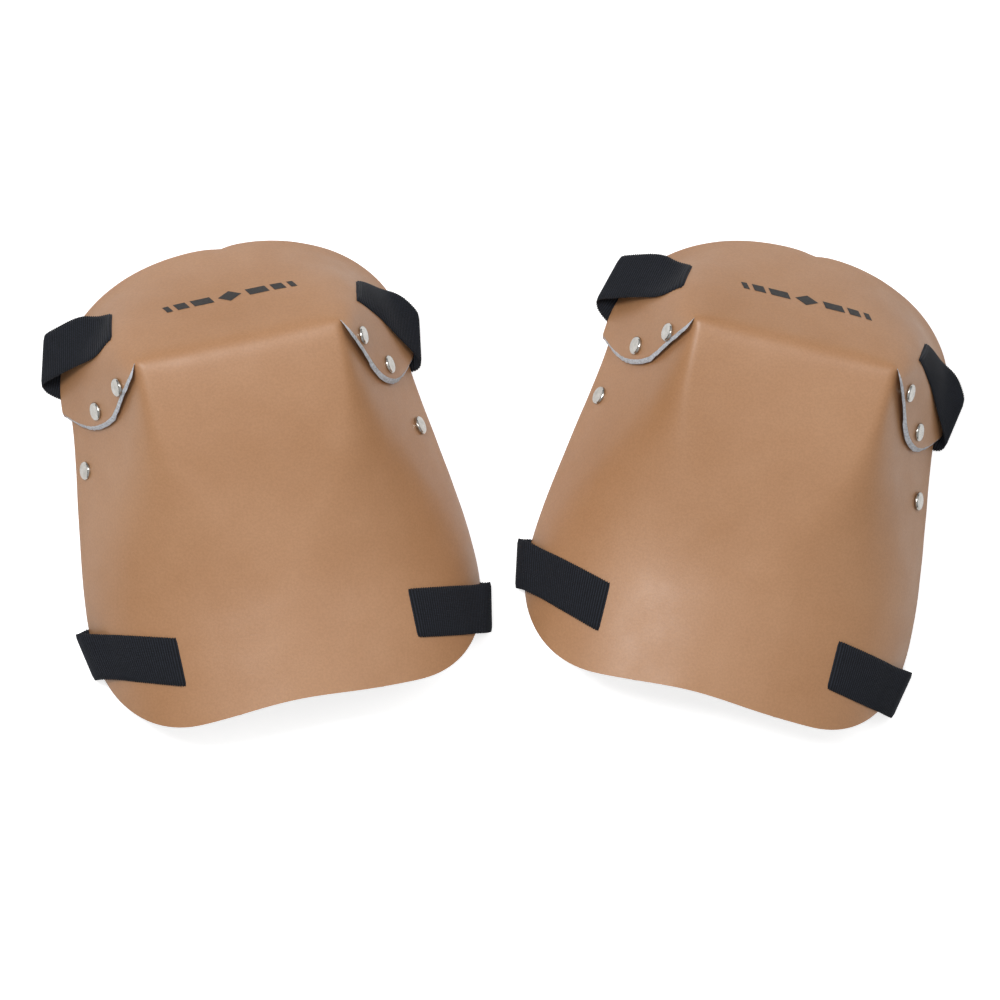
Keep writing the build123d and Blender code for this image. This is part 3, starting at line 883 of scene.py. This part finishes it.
def printed_mark(side, matrix, material):
    """The mark as thin ink on the crown, each shape cut finely to follow the leather."""
    points, faces = [], []
    cuts = 10
    for shape in mark_shapes():
        a, b, c, d = [Vector((u, v, 0)) for u, v in shape]
        base = len(points)
        for i in range(cuts + 1):
            for j in range(cuts + 1):
                low = a.lerp(b, i / cuts)
                high = d.lerp(c, i / cuts)
                spot = low.lerp(high, j / cuts)
                points.append(ink_point(spot.x, spot.y))
        for i in range(cuts):
            for j in range(cuts):
                k = base + i * (cuts + 1) + j
                faces.append((k, k + 1, k + cuts + 2, k + cuts + 1))
    piece = mesh_object(side + "_printed_mark", points, faces, [material])
    piece.data.transform(matrix)
    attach(piece, side + "_guard")
    return piece


def ink_point(across, up):
    """A point of the mark on the crown's face, just clear of the leather."""
    z = MARK_MIDDLE_Z + up * 0.78
    width, reach, power = crown_size(z)
    x = across + MARK_MIDDLE_X
    y = CROWN_CENTRE_Y + reach * (1 - abs(x / width) ** power) ** (1 / power)
    point, normal = crown_point(x if abs(x) > 0.5 else 0.5, y)
    point = Vector((x, y, z))
    return point + normal * (MARK_LIFT + ripple(point))


# ---- materials ----

def new_material(name):
    material = bpy.data.materials.new(name)
    material.use_nodes = True
    tree = material.node_tree
    tree.nodes.clear()
    output = tree.nodes.new("ShaderNodeOutputMaterial")
    shader = tree.nodes.new("ShaderNodeBsdfPrincipled")
    tree.links.new(shader.outputs["BSDF"], output.inputs["Surface"])
    return material, tree, shader


def add_node(tree, kind, inputs=None, **settings):
    node = tree.nodes.new(kind)
    for key, value in settings.items():
        setattr(node, key, value)
    for key, value in (inputs or {}).items():
        if isinstance(value, bpy.types.NodeSocket):
            tree.links.new(value, node.inputs[key])
        else:
            node.inputs[key].default_value = value
    return node


def object_place(tree):
    return add_node(tree, "ShaderNodeTexCoord").outputs["Object"]


def noise_node(tree, place, scale, detail=4.0, roughness=0.6):
    return add_node(tree, "ShaderNodeTexNoise", {
        "Vector": place, "Scale": scale, "Detail": detail, "Roughness": roughness,
    }).outputs["Fac"]


def ramp(tree, factor, stops):
    node = add_node(tree, "ShaderNodeValToRGB", {"Fac": factor})
    elements = node.color_ramp.elements
    for i, (position, colour) in enumerate(stops):
        element = elements[i] if i < 2 else elements.new(position)
        element.position = position
        element.color = (*colour, 1)
    return node.outputs["Color"]


def mix_colour(tree, factor, first, second, blend_type="MIX"):
    node = add_node(tree, "ShaderNodeMix", data_type="RGBA", blend_type=blend_type)
    for key, value in ((0, factor), (6, first), (7, second)):
        socket = node.inputs[key]
        if isinstance(value, bpy.types.NodeSocket):
            tree.links.new(value, socket)
        else:
            socket.default_value = value if isinstance(value, float) else (*value, 1)
    return node.outputs[2]


def bump(tree, shader, layers):
    """Bumps one over another, each layer (height socket, strength, distance in metres)."""
    last = None
    for factor, strength, distance in layers:
        node = add_node(tree, "ShaderNodeBump", {
            "Height": factor, "Strength": strength, "Distance": distance,
        })
        if last:
            tree.links.new(last, node.inputs["Normal"])
        last = node.outputs["Normal"]
    tree.links.new(last, shader.inputs["Normal"])


LEATHER_TAN = (0.405, 0.207, 0.098)
LEATHER_PALE = (0.430, 0.226, 0.112)
LEATHER_DEEP = (0.380, 0.188, 0.083)


def leather_material():
    """Smooth tan hide: cloudy colour, fine pores, a satin face."""
    material, tree, shader = new_material("tan_leather")
    place = object_place(tree)
    cloud = noise_node(tree, place, 14.0, 3.0)
    colour = ramp(tree, cloud, [(0.3, LEATHER_DEEP), (0.7, LEATHER_PALE), (0.5, LEATHER_TAN)])
    speck = noise_node(tree, place, 900.0, 2.0)
    speck_colour = ramp(tree, speck, [(0.35, (0.93, 0.92, 0.91)), (0.65, (1.03, 1.03, 1.03))])
    colour = mix_colour(tree, 1.0, colour, speck_colour, "MULTIPLY")
    tree.links.new(colour, shader.inputs["Base Color"])
    gloss = ramp(tree, noise_node(tree, place, 60.0), [(0.3, (0.40,) * 3), (0.7, (0.50,) * 3)])
    tree.links.new(gloss, shader.inputs["Roughness"])
    cells = add_node(tree, "ShaderNodeTexVoronoi", {"Vector": place, "Scale": 1500.0},
                     feature="DISTANCE_TO_EDGE").outputs["Distance"]
    bump(tree, shader, [(cells, 0.35, 0.00012), (noise_node(tree, place, 450.0), 0.25, 0.0002)])
    shader.inputs["Specular IOR Level"].default_value = 0.6
    return material


def edge_material():
    """The burnished cut edge: darker brown, smooth."""
    material, tree, shader = new_material("burnished_edge")
    place = object_place(tree)
    colour = ramp(tree, noise_node(tree, place, 260.0),
                  [(0.3, (0.16, 0.062, 0.022)), (0.7, (0.30, 0.13, 0.055))])
    tree.links.new(colour, shader.inputs["Base Color"])
    shader.inputs["Roughness"].default_value = 0.5
    bump(tree, shader, [(noise_node(tree, place, 900.0), 0.4, 0.0002)])
    return material


def raw_edge_material():
    """The raw split edge of the ears: fuzzy grey fibres."""
    material, tree, shader = new_material("raw_split_edge")
    place = object_place(tree)
    colour = ramp(tree, noise_node(tree, place, 700.0, 6.0, 0.75),
                  [(0.34, (0.30, 0.30, 0.32)), (0.62, (0.62, 0.65, 0.70))])
    tree.links.new(colour, shader.inputs["Base Color"])
    shader.inputs["Roughness"].default_value = 0.95
    shader.inputs["Sheen Weight"].default_value = 0.35
    bump(tree, shader, [(noise_node(tree, place, 1100.0, 6.0, 0.8), 1.0, 0.0006)])
    return material


def flesh_material():
    """The unfinished inner face of the hide."""
    material, tree, shader = new_material("flesh_side")
    place = object_place(tree)
    colour = ramp(tree, noise_node(tree, place, 220.0, 6.0),
                  [(0.3, (0.34, 0.23, 0.15)), (0.7, (0.48, 0.34, 0.23))])
    tree.links.new(colour, shader.inputs["Base Color"])
    shader.inputs["Roughness"].default_value = 0.9
    shader.inputs["Sheen Weight"].default_value = 0.3
    bump(tree, shader, [(noise_node(tree, place, 800.0, 6.0, 0.8), 0.7, 0.0004)])
    return material


def felt_material():
    """Grey wool felt: matted fibres, no shine."""
    material, tree, shader = new_material("wool_felt")
    place = object_place(tree)
    fibre = noise_node(tree, place, 500.0, 8.0, 0.8)
    fleck = noise_node(tree, place, 1600.0, 3.0)
    colour = ramp(tree, fibre, [(0.32, (0.16, 0.155, 0.15)), (0.66, (0.42, 0.41, 0.39))])
    fleck_shade = ramp(tree, fleck, [(0.4, (0.8,) * 3), (0.7, (1.15,) * 3)])
    colour = mix_colour(tree, 1.0, colour, fleck_shade, "MULTIPLY")
    tree.links.new(colour, shader.inputs["Base Color"])
    shader.inputs["Roughness"].default_value = 1.0
    shader.inputs["Sheen Weight"].default_value = 0.5
    bump(tree, shader, [(fibre, 0.9, 0.0008)])
    return material


def webbing_material():
    """Black woven tape: fine yarns that run along the ribs, by length and width, with painted
    shade darkening the grooves between ribs and between yarns and painted highlight lightening
    their crests.
    """
    material, tree, shader = new_material("black_webbing")
    uv = add_node(tree, "ShaderNodeUVMap", uv_map="ribs_and_width").outputs["UV"]
    split = add_node(tree, "ShaderNodeSeparateXYZ", {"Vector": uv})

    def wave(socket, pitch):
        scaled = add_node(tree, "ShaderNodeMath", {0: socket, 1: 2 * pi / pitch},
                          operation="MULTIPLY").outputs[0]
        cosine = add_node(tree, "ShaderNodeMath", {0: scaled}, operation="COSINE").outputs[0]
        return add_node(tree, "ShaderNodeMath", {0: cosine, 1: 0.5, 2: 0.5},
                        operation="MULTIPLY_ADD").outputs[0]

    # painted shade and highlight: the rib and yarn waves darken the colour in the grooves and
    # lighten it on the crests; the fluff is random tone
    rib = wave(split.outputs["X"], 1.0)
    yarn = wave(split.outputs["Y"], 0.85)
    fluff = noise_node(tree, object_place(tree), 1100.0, 4.0)
    weave = add_node(tree, "ShaderNodeMath", {0: yarn, 1: 0.45, 2: 0.55},
                     operation="MULTIPLY_ADD").outputs[0]
    shade = add_node(tree, "ShaderNodeMath", {0: rib, 1: weave}, operation="MULTIPLY").outputs[0]
    shade = add_node(tree, "ShaderNodeMath", {0: shade, 1: fluff}, operation="MULTIPLY").outputs[0]
    colour = ramp(tree, shade, [(0.02, (0.0025, 0.003, 0.0045)), (0.5, (0.019, 0.023, 0.034))])
    tree.links.new(colour, shader.inputs["Base Color"])
    shader.inputs["Roughness"].default_value = 0.8
    shader.inputs["Specular IOR Level"].default_value = 0.25
    shader.inputs["Sheen Weight"].default_value = 0.04
    bump(tree, shader, [(weave, 0.8, 0.0003), (fluff, 0.3, 0.0002)])
    return material


def nickel_material():
    """Bright plating on the rivets, slightly uneven from the press."""
    material, tree, shader = new_material("bright_nickel")
    place = object_place(tree)
    colour = ramp(tree, noise_node(tree, place, 300.0),
                  [(0.3, (0.44, 0.43, 0.40)), (0.7, (0.62, 0.61, 0.58))])
    tree.links.new(colour, shader.inputs["Base Color"])
    gloss = ramp(tree, noise_node(tree, place, 700.0), [(0.3, (0.10,) * 3), (0.75, (0.24,) * 3)])
    tree.links.new(gloss, shader.inputs["Roughness"])
    shader.inputs["Metallic"].default_value = 1.0
    bump(tree, shader, [(noise_node(tree, place, 330.0, 2.0), 0.5, 0.0006)])
    return material


def buckle_material():
    """Black moulded plastic with a fine grain."""
    material, tree, shader = new_material("moulded_acetal")
    place = object_place(tree)
    colour = ramp(tree, noise_node(tree, place, 120.0),
                  [(0.3, (0.010, 0.010, 0.011)), (0.7, (0.018, 0.018, 0.020))])
    tree.links.new(colour, shader.inputs["Base Color"])
    gloss = ramp(tree, noise_node(tree, place, 200.0), [(0.3, (0.38,) * 3), (0.7, (0.52,) * 3)])
    tree.links.new(gloss, shader.inputs["Roughness"])
    bump(tree, shader, [(noise_node(tree, place, 2500.0, 2.0), 0.25, 0.0001)])
    return material


def ink_material():
    """Dark ink on the leather, thin in places."""
    material, tree, shader = new_material("printed_ink")
    place = object_place(tree)
    colour = ramp(tree, noise_node(tree, place, 900.0),
                  [(0.35, (0.012, 0.011, 0.011)), (0.75, (0.035, 0.028, 0.024))])
    tree.links.new(colour, shader.inputs["Base Color"])
    shader.inputs["Roughness"].default_value = 0.55
    return material


# ---- pieces kept from the frame ----

RIVET_ROUNDING = 0.4
BUCKLE_ROUNDING = 0.35


def dress_node(name, material, bevel_width):
    """A rigid piece kept from the frame: its material, welded and softly rounded."""
    node = frame["nodes"][name]
    node.data.materials.clear()
    node.data.materials.append(material)
    weld = node.modifiers.new("weld", "WELD")
    weld.merge_threshold = 1e-6
    bevel = node.modifiers.new("rounding", "BEVEL")
    bevel.width = bevel_width * MM
    bevel.segments = 2
    bevel.limit_method = "ANGLE"
    bevel.angle_limit = radians(40)
    node.data.polygons.foreach_set("use_smooth", [True] * len(node.data.polygons))


# ---- stage, light and camera ----

FRAME_WIDTH = 0.5
LENS, SENSOR = 500.0, 36.0
VIEW_TILT = 4.4
VIEW_CENTRE = Vector((-0.001, -0.0076, 0.0))
FLOOR_GLOW = 0.6
FLOOR_HALF = 6.0
ROOM_STRENGTH = 0.42
# Each lamp's place and size in metres, and its power in watts.
KEY_LAMP = ((-1.0, 0.75, 2.6), 0.8, 46)
FILL_LAMP = ((0.9, 0.8, 2.6), 1.2, 13)


def make_floor():
    """A plain white floor, lightened for the camera so that shadows on it stay faint."""
    material, tree, shader = new_material("white_floor")
    place = object_place(tree)
    colour = ramp(tree, noise_node(tree, place, 3.0), [(0.3, (0.93,) * 3), (0.7, (0.95,) * 3)])
    tree.links.new(colour, shader.inputs["Base Color"])
    shader.inputs["Roughness"].default_value = 0.9
    shader.inputs["Emission Color"].default_value = (1, 1, 1, 1)
    seen = add_node(tree, "ShaderNodeLightPath").outputs["Is Camera Ray"]
    glow = add_node(tree, "ShaderNodeMath", {0: seen, 1: FLOOR_GLOW}, operation="MULTIPLY")
    tree.links.new(glow.outputs[0], shader.inputs["Emission Strength"])
    half = FLOOR_HALF
    corners = [(-half, -half, 0), (half, -half, 0), (half, half, 0), (-half, half, 0)]
    mesh_object("floor", corners, [(0, 1, 2, 3)], [material])


def make_light(name, place, size, power):
    """A soft round lamp that points at the middle of the floor."""
    data = bpy.data.lights.new(name, "AREA")
    data.shape = "DISK"
    data.size = size
    data.energy = power
    lamp = bpy.data.objects.new(name, data)
    lamp.location = place
    lamp.rotation_mode = "QUATERNION"
    lamp.rotation_quaternion = (-Vector(place)).to_track_quat("-Z", "Y")
    bpy.context.scene.collection.objects.link(lamp)


def make_world(strength):
    """A white room, darker towards the horizon so that metal has something to show."""
    world = bpy.data.worlds.new("soft_room")
    world.use_nodes = True
    tree = world.node_tree
    direction = add_node(tree, "ShaderNodeTexCoord").outputs["Generated"]
    up = add_node(tree, "ShaderNodeSeparateXYZ", {"Vector": direction}).outputs["Z"]
    colour = ramp(tree, up, [(0.05, (0.35,) * 3), (0.75, (1.25,) * 3), (0.4, (0.9,) * 3)])
    background = tree.nodes["Background"]
    tree.links.new(colour, background.inputs["Color"])
    background.inputs["Strength"].default_value = strength
    bpy.context.scene.world = world


def make_camera():
    """A long lens almost straight above the pair, leaning slightly to the left."""
    data = bpy.data.cameras.new("camera")
    data.lens = LENS
    data.sensor_width = SENSOR
    camera = bpy.data.objects.new("camera", data)
    distance = LENS / SENSOR * FRAME_WIDTH
    tilt = radians(VIEW_TILT)
    camera.location = VIEW_CENTRE + Vector((-sin(tilt), 0, cos(tilt))) * distance
    camera.rotation_euler = (0, -tilt, 0)
    data.clip_end = 3 * distance
    bpy.context.scene.collection.objects.link(camera)
    bpy.context.scene.camera = camera


# ---- the scene ----

leather_set = [leather_material(), edge_material(), raw_edge_material(), flesh_material()]
felt_look = felt_material()
webbing_look = webbing_material()
nickel_look = nickel_material()
buckle_look = buckle_material()
ink_look = ink_material()

for side in ("left", "right"):
    matrix = guard_matrix(side)
    leather_shell(side, matrix, leather_set)
    felt_pad(side, matrix, felt_look)
    straps(side, matrix, webbing_look)
    printed_mark(side, matrix, ink_look)
    for part in ("ear_rivet_caps", "ear_rivet_backs", "side_rivet_caps", "side_rivet_backs"):
        dress_node(f"{side}_{part}", nickel_look, RIVET_ROUNDING)
    for strap in ("upper", "lower"):
        for part in ("buckle_socket", "buckle_plug", "plug_arm_a", "plug_arm_b"):
            dress_node(f"{side}_{strap}_{part}", buckle_look, BUCKLE_ROUNDING)

make_floor()
make_world(ROOM_STRENGTH)
make_light("key", *KEY_LAMP)
make_light("fill", *FILL_LAMP)
make_camera()
bpy.context.scene.view_settings.view_transform = "Standard"
